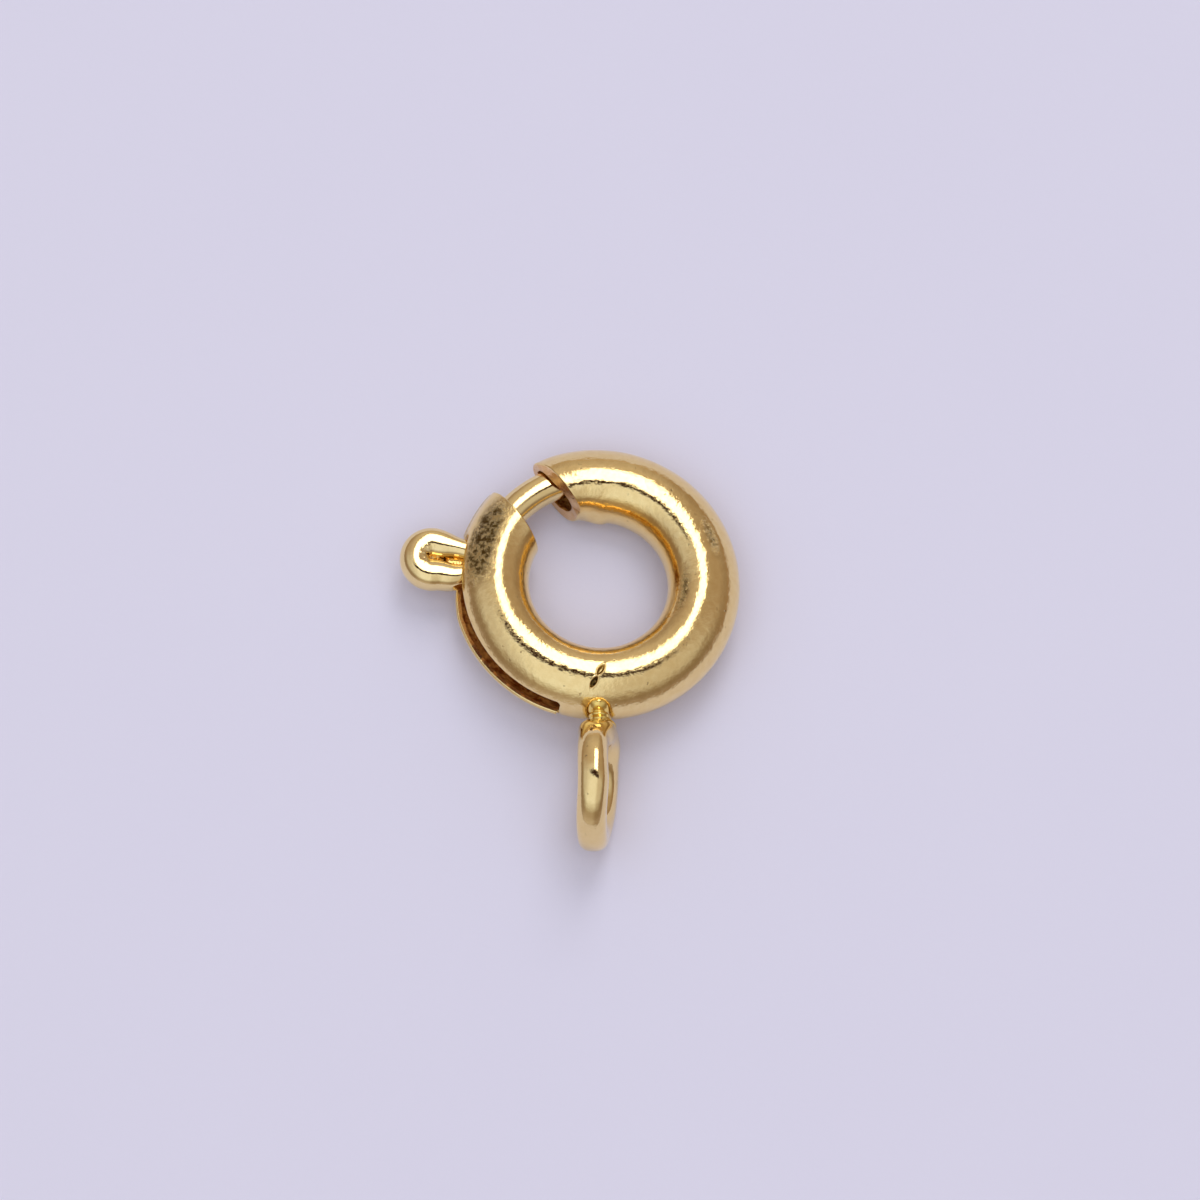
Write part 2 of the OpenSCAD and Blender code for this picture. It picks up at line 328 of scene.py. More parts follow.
bm = bmesh.new()
pit_layer = bm.verts.layers.float.new("pitting")
bounce_layer = bm.verts.layers.float.new("painted_bounce")
tube_points = [bm.verts.new(p) for p in np.concatenate([outer.reshape(-1, 3), bore.reshape(-1, 3)])]
marked = near_mark * np.clip(-14 * mark - 0.35, 0, 1)
for point, value in zip(tube_points, np.maximum(worn(outer_phi, outer_alpha), marked).ravel()):
    point[pit_layer] = value
# Painted orange reflection along the eye's inner wall, stronger towards one side
painted_bounce = hill(np.degrees(outer_alpha) % 360, 143, 24) * (0.55 + 0.45 * hill(half_turn(outer_phi), 45, 70))
for point, value in zip(tube_points, painted_bounce.ravel()):
    point[bounce_layer] = value
for face, kind in zip(tube_faces, tube_kinds):
    made = bm.faces.new([tube_points[n] for n in face])
    made.smooth = kind != RIM
    made.material_index = kind
bmesh.ops.delete(bm, geom=[p for p in bm.verts if not p.link_faces], context="VERTS")
bmesh.ops.recalc_face_normals(bm, faces=bm.faces)


def finish_piece(name, bm, body, slot, *nodes):
    """The mesh in millimetres becomes a piece in its resting place, on its body, for its CAD nodes."""
    mesh = bpy.data.meshes.new(name)
    bm.to_mesh(mesh)
    bm.free()
    co = np.empty(len(mesh.vertices) * 3)
    mesh.vertices.foreach_get("co", co)
    mesh.vertices.foreach_set("co", at_rest(co).ravel())
    mesh.update()
    piece = bpy.data.objects.new(name, mesh)
    bpy.context.scene.collection.objects.link(piece)
    if body:
        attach(piece, body)
    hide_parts(*nodes)
    return piece


bent_tube = finish_piece("bent_tube", bm, "ring", "gold_plate", "ring_body")


def joined(tree, kind, **sockets):
    """A node with its settings and inputs, each a value or another node's output. _0 is its first input."""
    node = tree.nodes.new(kind)
    for key, value in sockets.items():
        if hasattr(node, key):
            setattr(node, key, value)
            continue
        by_number = key[0] == "_" and key[1:].isdigit()
        socket = node.inputs[int(key[1:]) if by_number else key.replace("_", " ")]
        if isinstance(value, bpy.types.NodeSocket):
            tree.links.new(value, socket)
        else:
            socket.default_value = value
    return node


def worked(tree, operation, *values):
    """One value worked out from others, such as MULTIPLY."""
    inputs = {"_%d" % n: value for n, value in enumerate(values)}
    return joined(tree, "ShaderNodeMath", operation=operation, **inputs).outputs[0]


def stretched(tree, value, low, high, at_low=0.0, at_high=1.0):
    """A value stretched from low and high to new ends, and kept between them."""
    return joined(tree, "ShaderNodeMapRange", Value=value, From_Min=low, From_Max=high,
                  To_Min=at_low, To_Max=at_high).outputs[0]


def cloudy(tree, where, scale, detail, roughness=0.5, output="Fac"):
    """Uneven grey or coloured clouds, scale of them to a unit."""
    cloud = joined(tree, "ShaderNodeTexNoise", _0=where, Scale=scale, Detail=detail, Roughness=roughness)
    return cloud.outputs[output]


def mixed(tree, share, a, b, way="MIX"):
    """Two colours mixed, each a colour or another node's output."""
    return joined(tree, "ShaderNodeMix", data_type="RGBA", blend_type=way, _0=share, _6=a, _7=b).outputs[2]


def gold_finish(name, deep, bright, shine, peel, pits, wear_and_bounce=False, metallic=1.0, mottle=1.0):
    """Plated metal in two tones, deep and bright. shine is its lowest roughness, peel and pits its relief,

    mottle how sharply the tones part, and wear_and_bounce adds what the ring's own points carry: real
    pitting and a painted orange reflection on the inner wall."""
    metal = bpy.data.materials.new(name)
    metal.use_nodes = True
    tree = metal.node_tree
    tree.nodes.clear()
    where = joined(tree, "ShaderNodeTexCoord").outputs["Object"]
    mm = joined(tree, "ShaderNodeVectorMath", operation="SCALE", _0=where, Scale=1000.0).outputs[0]
    cloud = cloudy(tree, mm, 1.7, 3.0, 0.6)
    skin = cloudy(tree, mm, 6.5, 4.0, 0.55)
    grit = cloudy(tree, mm, 17.0, 2.0, 0.6)
    # Single pits, only where the cloud is dense
    jitter = cloudy(tree, mm, 14.0, 1.0, output="Color")
    jitter = joined(tree, "ShaderNodeVectorMath", operation="SCALE", _0=jitter, Scale=0.11).outputs[0]
    jitter = joined(tree, "ShaderNodeVectorMath", operation="ADD", _0=jitter, _1=mm).outputs[0]
    cells = joined(tree, "ShaderNodeTexVoronoi", _0=jitter, Scale=5.5, Randomness=1.0).outputs["Distance"]
    dots = stretched(tree, cells, 0.06, 0.19, 1.0, 0.0)
    pit = worked(tree, "MULTIPLY", dots, stretched(tree, cloud, 0.54, 0.64))
    pit = worked(tree, "MULTIPLY", pit, pits)
    height = worked(tree, "MULTIPLY_ADD", skin, peel, 0.0)
    height = worked(tree, "SUBTRACT", height, pit)
    dark = pit
    if wear_and_bounce:
        worn_here = joined(tree, "ShaderNodeAttribute", attribute_name="pitting").outputs["Fac"]
        blotch = stretched(tree, cloudy(tree, mm, 8.0, 5.0, 0.75), 0.42, 0.54)
        blotch = worked(tree, "MULTIPLY_ADD", blotch, 0.6, 0.4)
        hole = worked(tree, "MULTIPLY", blotch, worn_here)
        height = worked(tree, "MULTIPLY_ADD", hole, -5.0, height)
        dark = worked(tree, "MAXIMUM", pit, hole)
    shade = stretched(tree, skin, 0.5 - 0.5 / mottle, 0.5 + 0.5 / mottle)
    tone = mixed(tree, shade, deep + (1.0,), bright + (1.0,))
    if wear_and_bounce:
        # Painted reflection: a deeper orange on the eye's inner wall stands in for light bounced between the
        # gold walls
        bounce_here = joined(tree, "ShaderNodeAttribute", attribute_name="painted_bounce").outputs["Fac"]
        tone = mixed(tree, bounce_here, tone, (0.86, 0.50, 0.10, 1.0))
    stained = mixed(tree, dark, tone, tuple(0.16 * c ** 1.6 for c in deep) + (1.0,))
    rough = worked(tree, "MULTIPLY_ADD", dark, 0.25, stretched(tree, grit, 0.3, 0.7, shine, shine + 0.07))
    relief = joined(tree, "ShaderNodeBump", Strength=1.0, Distance=0.000004, Height=height).outputs[0]
    shader = joined(tree, "ShaderNodeBsdfPrincipled", Metallic=metallic, Roughness=rough, Normal=relief)
    tree.links.new(stained, shader.inputs["Base Color"])
    out = joined(tree, "ShaderNodeOutputMaterial")
    tree.links.new(shader.outputs[0], out.inputs[0])
    return metal


plate_gold = gold_finish("plate_gold", (0.84, 0.61, 0.26), (0.94, 0.74, 0.36), 0.05, 2.3, 0.8,
                         wear_and_bounce=True, mottle=1.5)
# The bore took little plating and is stained brown, and its orange glow is painted reflection of light
# bounced between the gold walls; the cut walls are duller than the outside
bore_stain_and_bounce = gold_finish("bore_stain_and_bounce", (0.34, 0.08, 0.01), (1.0, 0.50, 0.12), 0.2, 9.0, 1.5,
                        metallic=0.4, mottle=4.0)
rim_gold = gold_finish("rim_gold", (0.82, 0.48, 0.18), (0.96, 0.68, 0.38), 0.2, 4.0, 1.0,
                       metallic=0.9, mottle=2.5)
for finish in (plate_gold, bore_stain_and_bounce, rim_gold):
    bent_tube.data.materials.append(finish)

# Tongue
# One length of gold-plated spring-hard brass wire. Its tip shuts the gate, it is folded out through the slot
# into the thumb lever, pressed nearly shut, and its tail goes back into the tube against the spring.

WIRE_D, LEG_D, WIRE_OFFSET = 0.66, 0.49, 0.23
WIRE_R = WIRE_D / 2
# Behind the tip the wire is drawn down, a touch more in the bends and legs, which pass through the slot
TAIL_WIRE_R, BEND_WIRE_R, LEG_WIRE_R = LEG_D / 2, LEG_D / 2 - 0.005, LEG_D / 2 - 0.01
WIRE_LINE_R = TUBE_LINE_R + WIRE_OFFSET
TIP_HIDDEN, TAIL_LENGTH = 0.28, 0.85
BEND_R, LEG_GAP = 0.3, 0.03
LEVER_AT, LEVER_LEAN = math.radians(171.4), math.radians(1.0)
LEVER_REACH, EYE_W = 1.24, 1.36
EYE_R, EYE_X = (EYE_W - WIRE_D) / 2, LEVER_REACH - EYE_W / 2
# In the lever's own flat frame, x runs out along it from the ring's outside and y towards the spring
HUB = np.array([-RING_R * math.cos(LEVER_LEAN), RING_R * math.sin(LEVER_LEAN)])
LEG_Y, PINCH_X = (LEG_D + LEG_GAP) / 2, WIRE_LINE_R + BEND_R - RING_R
LEG_SLOPE = math.asin(EYE_R / math.hypot(EYE_X - PINCH_X, LEG_Y)) - math.atan2(LEG_Y, EYE_X - PINCH_X)
GATE_SIDE, SPRING_SIDE = -1, 1
# A leg's half height at its root, and where along the lever the spring's leg was pressed fuller
LEG_HIGH = 0.29
FULLER_AT, FULLER_REACH = 0.08, 0.34


def bend_centre(side):
    """Centre of the bend from the wire's line in the tube to a leg, in the lever's frame."""
    along = np.array([math.cos(LEG_SLOPE), side * math.sin(LEG_SLOPE)])
    across = np.array([-math.sin(LEG_SLOPE), side * math.cos(LEG_SLOPE)])
    start = np.array([PINCH_X, side * LEG_Y]) + BEND_R * across - HUB
    d = start @ along
    slide = math.sqrt(d * d - start @ start + (WIRE_LINE_R + BEND_R) ** 2) - d
    return HUB + start + slide * along, across


def from_lever(points):
    """Points of the lever's own flat frame, x out along it from the ring, in the clasp's flat frame."""
    p = np.asarray(points, float)
    t = LEVER_AT + LEVER_LEAN
    x = RING_R * math.cos(LEVER_AT) + p[:, 0] * math.cos(t) - p[:, 1] * math.sin(t)
    y = RING_R * math.sin(LEVER_AT) + p[:, 0] * math.sin(t) + p[:, 1] * math.cos(t)
    return np.stack([x, y], axis=1)


def to_lever(point):
    """The lever's own x and y of a point of the clasp's flat frame."""
    x, y = point[0] - RING_R * math.cos(LEVER_AT), point[1] - RING_R * math.sin(LEVER_AT)
    t = LEVER_AT + LEVER_LEAN
    return x * math.cos(t) + y * math.sin(t), y * math.cos(t) - x * math.sin(t)


def arc(centre, r, start, stop, count):
    t = np.linspace(start, stop, count)
    return np.stack([centre[0] + r * np.cos(t), centre[1] + r * np.sin(t)], axis=1)


def bend_angle(side):
    """Where round the ring a bend leaves the wire's line, in radians."""
    x, y = bend_centre(side)[0] - HUB
    return LEVER_AT + LEVER_LEAN + math.atan2(y, x)


def bend(side):
    """The bend from the wire's line in the tube to the leg, in the clasp's flat frame."""
    centre, across = bend_centre(side)
    foot = from_lever([centre - BEND_R * across])[0]
    centre = from_lever([centre])[0]
    inward = math.atan2(-centre[1], -centre[0])
    to_leg = math.atan2(*(foot - centre)[::-1])
    return arc(centre, BEND_R, inward, inward + (to_leg - inward + math.pi) % (2 * math.pi) - math.pi, 24)


def leg(side):
    centre, across = bend_centre(side)
    line = np.linspace(centre - BEND_R * across, np.array([EYE_X, 0]) + EYE_R * across, 24)
    # The leg on the spring's side was pressed fuller at its root
    line[:, 1] += 0.04 * (side == SPRING_SIDE) * hill(line[:, 0], FULLER_AT, FULLER_REACH)
    return from_lever(line)


def wire_mesh(bm, path, radii, outs, sides, cap=0.05, tall=None, square=2.0, roll=None):
    """A wire along the path, its rings opening towards the outs, with a small chamfer at both ends.

    tall gives its radii along the out vectors, square above 2 flattens its four sides, roll turns them."""
    path, outs = np.asarray(path, float), np.asarray(outs, float)
    tall = radii if tall is None else tall
    roll = np.zeros(len(path)) if roll is None else roll
    ahead = np.gradient(path, axis=0)
    ahead /= np.linalg.norm(ahead, axis=1)[:, None]
    side = np.cross(ahead, outs)
    side /= np.linalg.norm(side, axis=1)[:, None]
    outs = np.cross(side, ahead)
    outs, side = (outs * np.cos(roll)[:, None] + side * np.sin(roll)[:, None],
                  side * np.cos(roll)[:, None] - outs * np.sin(roll)[:, None])
    t = np.linspace(0, 2 * math.pi, sides, endpoint=False)
    fuller = (np.abs(np.cos(t)) ** square + np.abs(np.sin(t)) ** square) ** (-1 / square)
    up, over = (fuller * np.cos(t))[:, None], (fuller * np.sin(t))[:, None]
    rings = []
    for end in (0, None, -1):
        if end is None:
            for p, o, s, r, h in zip(path, outs, side, radii, tall):
                rings.append(p + h * up * o + r * over * s)
            continue
        way = -ahead[0] if end == 0 else ahead[-1]
        extra = []
        for k in (1, 2, 3):
            q = k / 3 * math.pi / 2
            less = cap * (1 - math.cos(q))
            p = path[end] + way * cap * math.sin(q)
            extra.append(p + (tall[end] - less) * up * outs[end] + (radii[end] - less) * over * side[end])
        rings += extra[::-1] if end == 0 else extra
    grid = [[bm.verts.new(p) for p in ring] for ring in rings]
    for a, b in zip(grid, grid[1:]):
        for k in range(sides):
            bm.faces.new((a[k], a[(k + 1) % sides], b[(k + 1) % sides], b[k])).smooth = True
    for ring in (grid[0][::-1], grid[-1]):
        bm.faces.new(ring)
    return grid


EYE_TURN = math.pi / 2 + LEG_SLOPE
tip_from = math.radians(GATE_AT) - math.asin(GATE_W / 2 / WIRE_LINE_R) - TIP_HIDDEN / WIRE_LINE_R
tip = arc((0, 0), WIRE_LINE_R, tip_from, bend_angle(GATE_SIDE), 60)
# In the gate the wire runs a little straighter
tip *= 1 - 0.045 / WIRE_LINE_R * ease(158, 140, np.degrees(np.arctan2(tip[:, 1], tip[:, 0])))[:, None]
tail_to = bend_angle(SPRING_SIDE) + TAIL_LENGTH / WIRE_LINE_R
tail = arc((0, 0), WIRE_LINE_R, bend_angle(SPRING_SIDE), tail_to, 24)
eye = from_lever(arc((EYE_X, 0), EYE_R, -EYE_TURN, EYE_TURN, 96))
runs = [(tip, WIRE_R), (bend(GATE_SIDE), BEND_WIRE_R), (leg(GATE_SIDE), None), (eye, WIRE_R),
        (leg(SPRING_SIDE)[::-1], None), (bend(SPRING_SIDE)[::-1], BEND_WIRE_R), (tail, TAIL_WIRE_R)]
wire_path = np.concatenate([run[1:] if n else run for n, (run, _) in enumerate(runs)])


def leg_radius(point):
    """A leg widens from the ring's outside to the full wire at the eye."""
    x, y = to_lever(point)
    fuller = 0.035 * (y > 0) * float(hill(x, FULLER_AT, FULLER_REACH))
    return LEG_WIRE_R + (WIRE_R - LEG_WIRE_R) * float(ease(-0.06, 0.5, x)) + fuller


def leg_height(point):
    """A leg is pressed from the sides, so it stays nearly as high as the eye."""
    return LEG_HIGH + (WIRE_R - LEG_HIGH) * float(np.clip((to_lever(point)[0] + 0.2) / 0.76, 0, 1))


def softened(values):
    """The same sizes, running over smoothly from one to the next."""
    soften = np.hanning(9) / np.hanning(9).sum()
    return np.convolve(np.pad(values, 4, mode="edge"), soften, mode="valid")


wire_radii = softened(np.concatenate([[r or leg_radius(p) for p in run[1 if n else 0:]]
                                      for n, (run, r) in enumerate(runs)]))
wire_heights = softened(np.concatenate([[r or leg_height(p) for p in run[1 if n else 0:]]
                                        for n, (run, r) in enumerate(runs)]))
# The drawing plate left the wire a little flat on top, turned outwards in the gate
wire_roll = math.radians(7) * ease(90, 60, np.arange(len(wire_path)))
wire_path = np.column_stack([wire_path, np.zeros(len(wire_path))])
bm = bmesh.new()
wire_mesh(bm, wire_path, wire_radii, np.tile((0.0, 0.0, 1.0), (len(wire_path), 1)), 64, tall=wire_heights,
          square=2.3, roll=wire_roll)
# The eye's inner side is left rough where the wire was folded over
for v in bm.verts:
    x, y = to_lever(v.co)
    inner = float(ease(0.27, 0.2, math.hypot(x - EYE_X, y)) * ease(0.58, 0.68, x))
    if inner > 0:
        spot = Vector((x, y, v.co.z))
        bump = noise.noise(spot * 11) + 0.5 * noise.noise(spot * 26)
        v.co.z *= 1 + 0.09 * inner * bump


def eye_floor(x, y):
    """Height of the pressed metal that closes the crease between the legs, above the wire's middle."""
    h = 0.08 + 0.010 * noise.noise(Vector((x * 7, y * 9, 0.3)))
    h += 0.004 * noise.noise(Vector((x * 20, y * 20, 1.7)))
    # A bead of metal stands up in the eye, and the floor sinks towards the lever's root
    h += 0.09 * float(hill(math.hypot(x - 0.44, 1.5 * (y + 0.02)), 0, 0.13))
    h += 0.05 * float(hill(x, 0.6, 0.1))
    return h - 0.09 * float(ease(0.34, 0.2, x))


# The pressed seam between the legs, above and below
seam_rows = [[(x, y) for y in np.linspace(-0.14, 0.14, 18)] for x in np.linspace(-0.12, 0.66, 60)]
for face_up in (1, -1):
    grid = []
    for row in seam_rows:
        flat = from_lever(row)
        grid.append([bm.verts.new((p[0], p[1], face_up * eye_floor(*q))) for p, q in zip(flat, row)])
    for a, b in zip(grid, grid[1:]):
        for k in range(len(a) - 1):
            quad = (a[k], b[k], b[k + 1], a[k + 1])
            face = bm.faces.new(quad if face_up > 0 else quad[::-1])
            face.smooth = True
            face.material_index = 1
    border = grid[0] + [r[-1] for r in grid[1:]] + grid[-1][-2::-1] + [r[0] for r in grid[-2:0:-1]]
    if face_up > 0:
        upper_border = border
    else:
        for k in range(len(border)):
            m = (k + 1) % len(border)
            bm.faces.new((upper_border[k], upper_border[m], border[m], border[k]))
bmesh.ops.recalc_face_normals(bm, faces=bm.faces)
tongue_wire = finish_piece("tongue_wire", bm, "trigger", "gold_wire", "tongue")
wire_gold = gold_finish("wire_gold", (0.88, 0.66, 0.29), (0.97, 0.78, 0.40), 0.045, 0.9, 0.5)
tongue_wire.data.materials.append(wire_gold)
# The seam's deeper orange is painted reflection of light bounced between the two legs
crease_bounce_gold = gold_finish("crease_bounce_gold", (0.80, 0.46, 0.12), (0.93, 0.62, 0.22), 0.16, 1.2, 1.0)
tongue_wire.data.materials.append(crease_bounce_gold)

# Spring
# A small compression coil of drawn bronze wire with a thin flash of gold. It lies loose in the tube between
# the tongue's tail and the end loop's legs, and closes up as the lever is drawn back.

COIL_FROM, COIL_TO = 204.807, 259.792
COIL_R, COIL_WIRE_R, COIL_TURNS = 0.495, 0.045, 7
share = np.linspace(0, 1, COIL_TURNS * 44 + 1)
turn_at = 2 * math.pi * COIL_TURNS * share
around = np.radians(COIL_FROM + (COIL_TO - COIL_FROM) * share)
reach = TUBE_LINE_R + COIL_R * np.cos(turn_at)
coil_path = np.stack([reach * np.cos(around), reach * np.sin(around), COIL_R * np.sin(turn_at)], axis=1)
coil_outs = np.stack([np.cos(turn_at) * np.cos(around), np.cos(turn_at) * np.sin(around), np.sin(turn_at)],
                     axis=1)
bm = bmesh.new()
wire_mesh(bm, coil_path, np.full(len(coil_path), COIL_WIRE_R), coil_outs, 12, cap=0.01)
bmesh.ops.recalc_face_normals(bm, faces=bm.faces)
coil_spring = finish_piece("coil_spring", bm, None, "spring_wire", "spring")
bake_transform(coil_spring)
spring_bronze = gold_finish("spring_bronze", (0.86, 0.54, 0.20), (1.0, 0.74, 0.34), 0.12, 0.6, 0.4,
                            metallic=0.75)
coil_spring.data.materials.append(spring_bronze)

# End loop
# A round wire eye whose two ends stand side by side in the tube's outer wall, soldered together, with two
# small beads at the neck. It is set last, and the punch mark over it holds it. Gold plated with the ring.

LOOP_LINE_R, LOOP_WIRE_R = 1.08, 0.32
LOOP_SQUARE = 2.6
LOOP_OUT, LOOP_LEAN = 1.485, math.radians(3.0)


def from_neck(points, lean=0.0):
    """Points of the neck's own frame, x out from the ring's outside, in the clasp's flat frame."""
    x, y, z = np.asarray(points, float).reshape(-1, 3).T
    c, s = math.cos(NECK_TURN), math.sin(NECK_TURN)
    y, z = y * c - z * s, y * s + z * c
    c, s = math.cos(-lean), math.sin(-lean)
    x, y = x * c - y * s, x * s + y * c
    return np.stack([y, -(RING_R + x), z], axis=1)


bm = bmesh.new()
t = np.linspace(0, 2 * math.pi, 160, endpoint=False)
u = np.linspace(0, 2 * math.pi, 56, endpoint=False)
grid = []
for a in t:
    thick = LOOP_WIRE_R + 0.0035 * noise.noise(Vector((3 * math.cos(a), 3 * math.sin(a), 0.5)))
    # The wire is fuller beside the neck, and the loop's foot is bent a little to the side
    full = 1 + 0.22 * float(ease(-0.6, -0.95, math.cos(a)))
    foot = -0.06 * float(ease(0.1, 1.0, math.cos(a)))
    foot += 0.085 * math.sin(a) * float(ease(-0.95, 0.75, math.cos(a)))
    # The wire is a little flat on its outer and inner side
    flat = (np.abs(np.cos(u)) ** LOOP_SQUARE + np.abs(np.sin(u)) ** LOOP_SQUARE) ** (-1 / LOOP_SQUARE)
    ring = []
    for k, b in zip(flat, u):
        r = LOOP_LINE_R + k * thick * math.cos(b)
        ring.append((r * math.cos(a) + LOOP_OUT, k * full * thick * math.sin(b) + foot, r * math.sin(a)))
    grid.append([bm.verts.new(p) for p in from_neck(ring, LOOP_LEAN)])
for i in range(len(grid)):
    for k in range(len(u)):
        a, b = grid[i], grid[(i + 1) % len(grid)]
        bm.faces.new((a[k], b[k], b[(k + 1) % len(u)], a[(k + 1) % len(u)])).smooth = True

# The neck from its end in the tube out to the loop, with two beads and then the shoulders:
# (distance from the ring's outside, half width, half height, shift to the side)
NECK = ((-1.0, 0.19, 0.47, 0), (-0.98, 0.215, 0.495, 0), (-0.95, 0.228, 0.508, 0), (-0.36, 0.228, 0.508, 0),
        (-0.33, 0.222, 0.502, 0), (-0.31, 0.215, 0.495, 0), (-0.285, 0.226, 0.506, 0),
        (-0.25, 0.238, 0.518, 0), (-0.2, 0.246, 0.526, 0), (-0.15, 0.246, 0.50, 0), (-0.1, 0.238, 0.46, 0),
        (-0.07, 0.222, 0.43, 0), (-0.055, 0.2, 0.40, 0), (-0.045, 0.186, 0.39, 0), (-0.035, 0.184, 0.39, 0),
        (-0.025, 0.196, 0.40, 0), (-0.005, 0.212, 0.41, 0), (0.02, 0.218, 0.41, 0),
        (0.045, 0.212, 0.39, 0.005), (0.06, 0.205, 0.37, 0.005), (0.068, 0.212, 0.36, 0.01),
        (0.078, 0.235, 0.35, 0.01), (0.092, 0.265, 0.345, 0.015), (0.115, 0.295, 0.34, 0.015),
        (0.15, 0.315, 0.33, 0.02), (0.2, 0.325, 0.32, 0.02), (0.27, 0.31, 0.31, 0.015),
        (0.35, 0.27, 0.28, 0.01), (0.4, 0.22, 0.23, 0))
NECK_SIDES = 64
rings = []
for x, half, high, aside in NECK:
    ring = []
    for b in np.linspace(0, 2 * math.pi, NECK_SIDES, endpoint=False):
        # Where the two wires stand side by side, the sides between them are straight
        lift = (high - half) * (math.tanh(7 * math.sin(b)) if high > half + 0.1 else math.sin(b))
        ring.append((x, half * math.cos(b) + aside, half * math.sin(b) + lift))
    rings.append([bm.verts.new(p) for p in from_neck(ring)])
for a, b in zip(rings, rings[1:]):
    for k in range(NECK_SIDES):
        face = bm.faces.new((a[k], a[(k + 1) % NECK_SIDES], b[(k + 1) % NECK_SIDES], b[k]))
        face.smooth = True
        face.material_index = 1
bm.faces.new(rings[0])
bm.faces.new(rings[-1])
bmesh.ops.recalc_face_normals(bm, faces=bm.faces)
wire_loop = finish_piece("wire_loop", bm, "ring", "gold_plate", "end_loop")
loop_gold = gold_finish("loop_gold", (0.84, 0.62, 0.27), (0.94, 0.74, 0.37), 0.05, 1.0, 0.8)
wire_loop.data.materials.append(loop_gold)
# The neck's more saturated gold is painted reflection of light bounced in the junction between the tube and
# the loop
neck_bounce_gold = gold_finish("neck_bounce_gold", (0.86, 0.60, 0.16), (0.98, 0.76, 0.26), 0.06, 1.0, 0.6)
wire_loop.data.materials.append(neck_bounce_gold)

# Table, light and camera
# The clasp lies on a pale lavender card under one overhead softbox, in a bright room,
# seen steeply from the end loop's side.

VIEW_TILT, VIEW_AZ, BESIDE_AZ = math.radians(20.4), math.radians(258), math.radians(-12)


def world_way(x, y, z):
    """A direction of the clasp's flat frame as a unit direction in the room."""
    way = Vector(at_rest([(x, y, z)])[0])
    return way.normalized()


card = bpy.data.materials.new("lavender_card")
card.use_nodes = True
tree = card.node_tree
tree.nodes.clear()
where = joined(tree, "ShaderNodeTexCoord").outputs["Object"]
haze = cloudy(tree, where, 160.0, 3.0)
grain = cloudy(tree, where, 9000.0, 2.0, 0.6)
lavender = mixed(tree, haze, (0.735, 0.725, 0.90, 1.0), (0.75, 0.74, 0.91, 1.0))
lift = joined(tree, "ShaderNodeBump", Strength=0.3, Distance=0.00001, Height=grain).outputs[0]
shader = joined(tree, "ShaderNodeBsdfPrincipled", Roughness=0.75, Normal=lift)
tree.links.new(lavender, shader.inputs["Base Color"])
out = joined(tree, "ShaderNodeOutputMaterial")
tree.links.new(shader.outputs[0], out.inputs[0])

lowest = min((piece.matrix_world @ v.co).z for piece in (bent_tube, wire_loop) for v in piece.data.vertices)
bm = bmesh.new()
bmesh.ops.create_grid(bm, x_segments=8, y_segments=8, size=1.5)
mesh = bpy.data.meshes.new("table_card")
bm.to_mesh(mesh)
bm.free()
table = bpy.data.objects.new("table_card", mesh)
table.location = (0, 0, lowest)
table.data.materials.append(card)
bpy.context.scene.collection.objects.link(table)

# Softbox: towards the picture's top, longer that way than across
softbox = bpy.data.lights.new("softbox", "AREA")
softbox.shape = "RECTANGLE"
softbox.size, softbox.size_y = 0.20, 0.37
softbox.energy = 2.5 * math.pi * softbox.size * softbox.size_y
BOX_AZ, BOX_TILT, BOX_FAR = math.radians(78), math.radians(28), 0.55
box_way = world_way(math.cos(BOX_AZ) * math.sin(BOX_TILT), math.sin(BOX_AZ) * math.sin(BOX_TILT),
                    math.cos(BOX_TILT))
lamp = bpy.data.objects.new("softbox", softbox)
across = world_way(math.cos(BESIDE_AZ), math.sin(BESIDE_AZ), 0)
along = box_way.cross(across).normalized()
turn = Matrix((across, along, box_way)).transposed().to_4x4()
lamp.matrix_world = Matrix.Translation(box_way * BOX_FAR) @ turn
bpy.context.scene.collection.objects.link(lamp)

# A large sheet of diffused light overhead evens out the card. It is too soft to show in the metal.
sheet = bpy.data.lights.new("diffuser", "AREA")
sheet.shape = "SQUARE"
sheet.size = 1.2
sheet.color = (0.90, 0.97, 1.0)
sheet.energy = 3.0
diffuser = bpy.data.objects.new("diffuser", sheet)
diffuser.location = (0, 0, 1.0)
diffuser.visible_glossy = False
bpy.context.scene.collection.objects.link(diffuser)

# The room: bright on the camera's side, dimmer behind, with the dark camera arm overhead
world = bpy.data.worlds.new("room")
bpy.context.scene.world = world
world.use_nodes = True
tree = world.node_tree
tree.nodes.clear()
way = joined(tree, "ShaderNodeTexCoord").outputs["Generated"]


def toward(direction):
    """How far a way in the room points in this direction, from -1 to 1."""
    dot = joined(tree, "ShaderNodeVectorMath", operation="DOT_PRODUCT", _0=way, _1=tuple(direction))
    return dot.outputs["Value"]


def tones(level, *stops):
    """Colours of the room along a level from -1 to 1."""
    node = joined(tree, "ShaderNodeValToRGB", _0=worked(tree, "MULTIPLY_ADD", level, 0.5, 0.5))
    ramp = node.color_ramp
    while len(ramp.elements) < len(stops):
        ramp.elements.new(0.5)
    for element, (at, colour) in zip(ramp.elements, stops):
        element.position = (at + 1) / 2
        element.color = colour + (1,)
    return node.outputs[0]


up = toward(world_way(0, 0, 1))
front = toward(world_way(math.cos(VIEW_AZ), math.sin(VIEW_AZ), 0))
beside = toward(across)
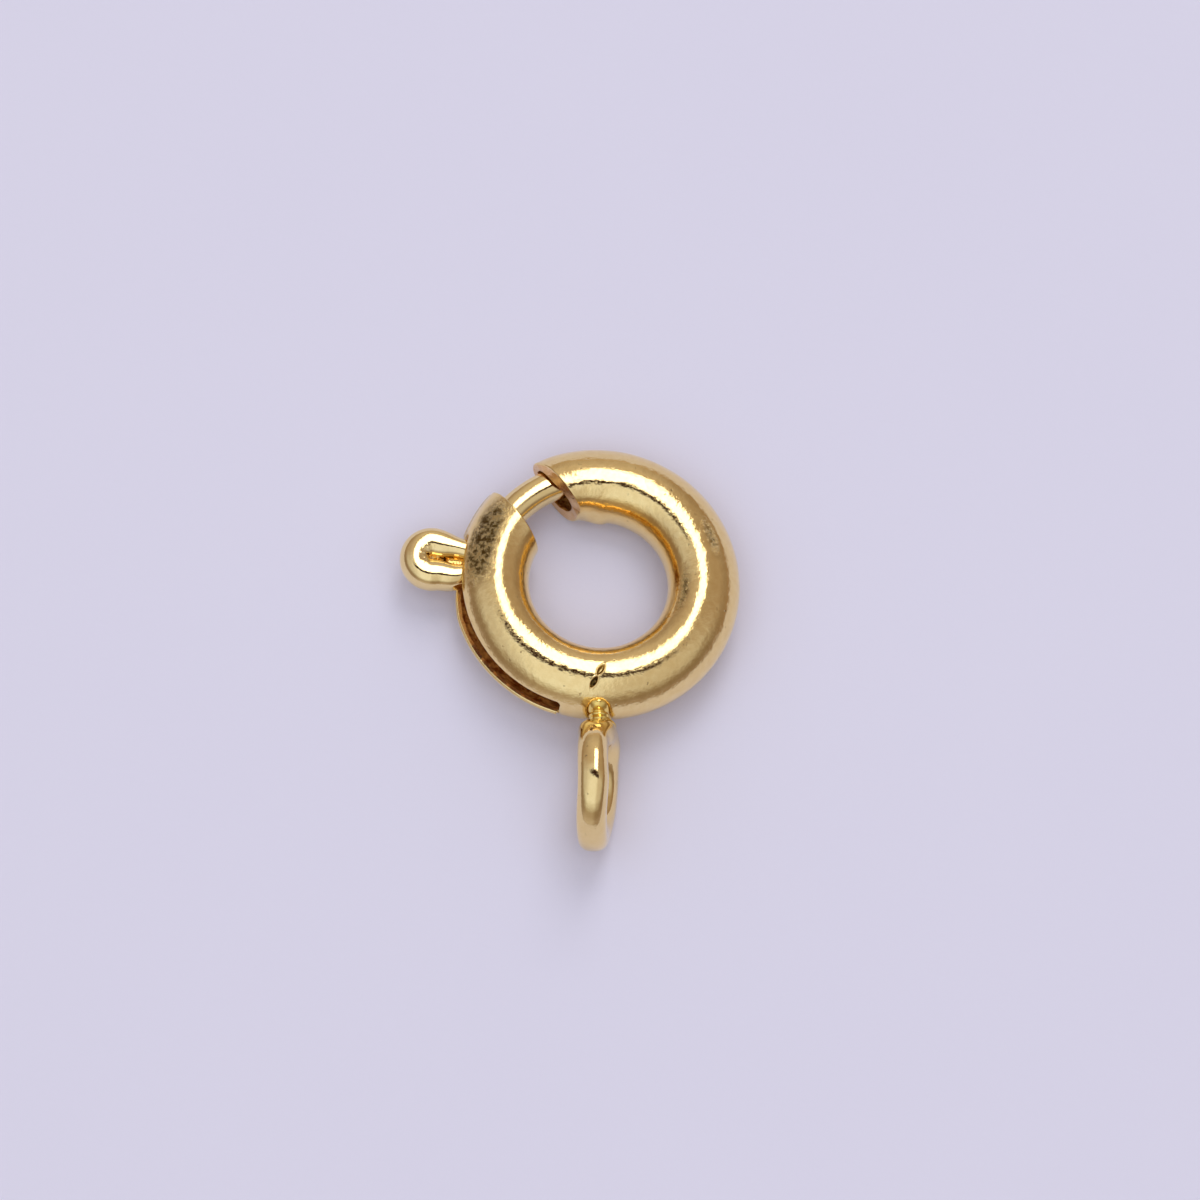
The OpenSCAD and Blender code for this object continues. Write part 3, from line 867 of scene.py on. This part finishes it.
# The dark parts of the room are warm brown, the bright ones a little cool
before = tones(up, (-0.2, (0.45, 0.42, 0.45)), (0.0, (0.55, 0.50, 0.52)), (0.17, (0.43, 0.37, 0.34)),
               (0.31, (0.41, 0.35, 0.30)), (0.44, (0.60, 0.59, 0.59)), (0.62, (0.90, 0.95, 1.05)),
               (1.0, (0.90, 0.93, 1.0)))
behind = tones(up, (-0.2, (0.45, 0.42, 0.45)), (0.0, (0.60, 0.50, 0.48)), (0.17, (0.52, 0.42, 0.34)),
               (0.31, (0.52, 0.45, 0.40)), (0.55, (0.64, 0.56, 0.50)), (0.85, (0.60, 0.52, 0.46)))
sides = tones(beside, (-1.0, (0.66, 0.60, 0.58)), (-0.6, (0.72, 0.68, 0.66)), (-0.3, (1.0, 1.0, 1.0)),
              (0.08, (1.0, 1.0, 1.0)), (0.32, (0.72, 0.66, 0.60)), (1.0, (0.62, 0.55, 0.50)))
room = mixed(tree, stretched(tree, front, 0.05, -0.35), before, behind)
room = mixed(tree, 1.0, room, sides, way="MULTIPLY")
# The camera and its arm, just overhead
arm_near = worked(tree, "ABSOLUTE", worked(tree, "ADD", front, 0.02))
arm_beside = worked(tree, "ABSOLUTE", beside)
arm = worked(tree, "MULTIPLY", stretched(tree, arm_near, 0.075, 0.10, 1.0, 0.0),
             stretched(tree, arm_beside, 0.3, 0.42, 1.0, 0.0))
arm = worked(tree, "MULTIPLY", arm, worked(tree, "GREATER_THAN", up, 0.5))
room = mixed(tree, arm, room, (0.03, 0.006, 0.0, 1.0))
glow = joined(tree, "ShaderNodeBackground", Strength=1.0)
tree.links.new(room, glow.inputs["Color"])
out = joined(tree, "ShaderNodeOutputWorld")
tree.links.new(glow.outputs[0], out.inputs[0])
bpy.context.scene.view_settings.view_transform = "Standard"

# The ring's centre in the picture, from its left and its top
PICTURE_PX, PX_PER_MM = 1200, 47.3
CENTRE_X, CENTRE_Y = 598.2, 584.8
CAMERA_FAR = 0.35
camera_data = bpy.data.cameras.new("camera")
camera_data.sensor_width = 36
camera_data.clip_start, camera_data.clip_end = 0.01, 20
camera_data.lens = camera_data.sensor_width * CAMERA_FAR / (PICTURE_PX / PX_PER_MM / 1000)
camera = bpy.data.objects.new("camera", camera_data)
level_way = np.array([math.cos(VIEW_AZ), math.sin(VIEW_AZ), 0])
cross_way = np.array([-math.sin(VIEW_AZ), math.cos(VIEW_AZ), 0])
upright = np.array([0, 0, 1])
slant = math.cos(VIEW_TILT) * level_way - math.sin(VIEW_TILT) * upright
back = math.sin(VIEW_TILT) * level_way + math.cos(VIEW_TILT) * upright
right = level_way[0] * slant + cross_way[0] * cross_way
top = level_way[1] * slant + cross_way[1] * cross_way
aim = ((PICTURE_PX / 2 - CENTRE_X) * right - (PICTURE_PX / 2 - CENTRE_Y) * top) / PX_PER_MM
axes = [Vector(at_rest([a])[0]).normalized() for a in (right, top, back)]
camera.matrix_world = Matrix.Translation(Vector(at_rest([aim])[0]) + axes[2] * CAMERA_FAR) \
    @ Matrix(axes).transposed().to_4x4()
bpy.context.scene.collection.objects.link(camera)
bpy.context.scene.camera = camera
